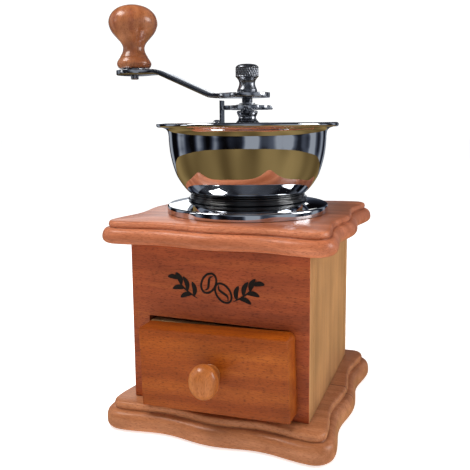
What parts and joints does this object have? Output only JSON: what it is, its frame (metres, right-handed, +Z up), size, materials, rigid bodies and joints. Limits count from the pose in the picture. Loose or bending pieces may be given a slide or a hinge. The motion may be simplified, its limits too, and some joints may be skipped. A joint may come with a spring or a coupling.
{
  "type": "box coffee grinder",
  "caption": "Hand coffee grinder: wooden cabinet with a drawer, open chromed bowl for the beans, and a cranked conical burr with a click adjuster.",
  "frame": {"origin": "centre of the base board's underside, where the grinder stands", "axes": "+Z up along the shaft, -Y out of the drawer's front, +X to the right seen from the drawer; the crank rests towards -X"},
  "size_m": [0.1462, 0.1364, 0.2278],
  "materials": {
    "stained_beech": "reddish brown stain under satin lacquer",
    "drawer_beech": "orange brown stain under satin lacquer",
    "pale_beech": "bare planed beech and plywood",
    "knob_beech": "turned beech under gloss lacquer",
    "chrome": "mirror polished",
    "black_enamel": "gloss black enamel",
    "polished_steel": "polished nickel plate",
    "zinc_steel": "bright zinc plate",
    "spring_steel": "drawn wire",
    "cast_iron": "as cast, oiled"
  },
  "bodies": {
    "cabinet": {"base_board": "stained_beech", "front_panel": "stained_beech", "back_panel": "stained_beech", "left_panel": "stained_beech", "right_panel": "stained_beech", "top_board": "stained_beech", "drawer_guide_left": "pale_beech", "drawer_guide_right": "pale_beech", "base_screw_1": "zinc_steel", "base_screw_2": "zinc_steel", "base_screw_3": "zinc_steel", "base_screw_4": "zinc_steel", "collar_plate": "chrome", "neck_ring": "black_enamel", "bowl": "chrome", "burr_housing": "cast_iron", "outer_burr": "cast_iron", "bridge_bolt_left": "zinc_steel", "bridge_bolt_right": "zinc_steel", "bridge_nut_left": "zinc_steel", "bridge_nut_right": "zinc_steel", "housing_screw_front": "zinc_steel", "housing_screw_rear": "zinc_steel", "bridge": "polished_steel", "hub_bearing": "polished_steel", "stop_leaf": "polished_steel", "leaf_screw": "zinc_steel", "pressure_spring": "spring_steel"},
    "lift": {"thrust_washer": "zinc_steel"},
    "adjuster": {"adjusting_star": "polished_steel"},
    "crank": {"crank_arm": "polished_steel", "thumb_nut": "polished_steel", "drive_shaft": "zinc_steel", "inner_burr": "cast_iron", "burr_washer": "zinc_steel", "burr_nut": "zinc_steel", "spring_washer": "zinc_steel", "spring_clip": "zinc_steel", "grip_pin": "zinc_steel", "grip_washer": "zinc_steel"},
    "grip": {"grip": "knob_beech"},
    "drawer": {"drawer_front": "drawer_beech", "drawer_inner_front": "pale_beech", "drawer_left_side": "pale_beech", "drawer_right_side": "pale_beech", "drawer_back": "pale_beech", "drawer_bottom": "pale_beech", "drawer_knob": "knob_beech", "drawer_knob_screw": "zinc_steel"}
  },
  "joints": [
    {"name": "burr_gap", "type": "slide", "parent": "cabinet", "child": "lift", "axis": [0, 0, 1], "range_m": [-0.0004, 0.0008], "deforming": ["pressure_spring"]},
    {"name": "adjuster_turn", "type": "hinge", "parent": "lift", "child": "adjuster", "pos_m": [0, 0, 0.1667], "axis": [0, 0, 1], "range_deg": [-145, 289]},
    {"name": "crank_turn", "type": "hinge", "parent": "lift", "child": "crank", "pos_m": [0, 0, 0.1733], "axis": [0, 0, 1], "continuous": true},
    {"name": "grip_spin", "type": "hinge", "parent": "crank", "child": "grip", "pos_m": [-0.0702, 0, 0.1914], "axis": [0, 0, 1], "continuous": true},
    {"name": "drawer_slide", "type": "slide", "parent": "cabinet", "child": "drawer", "axis": [0, -1, 0], "range_m": [0, 0.065]}
  ],
  "couplings": [
    {"joint": "adjuster_turn", "follows": "burr_gap", "rad_per_m": 6283.2}
  ]
}
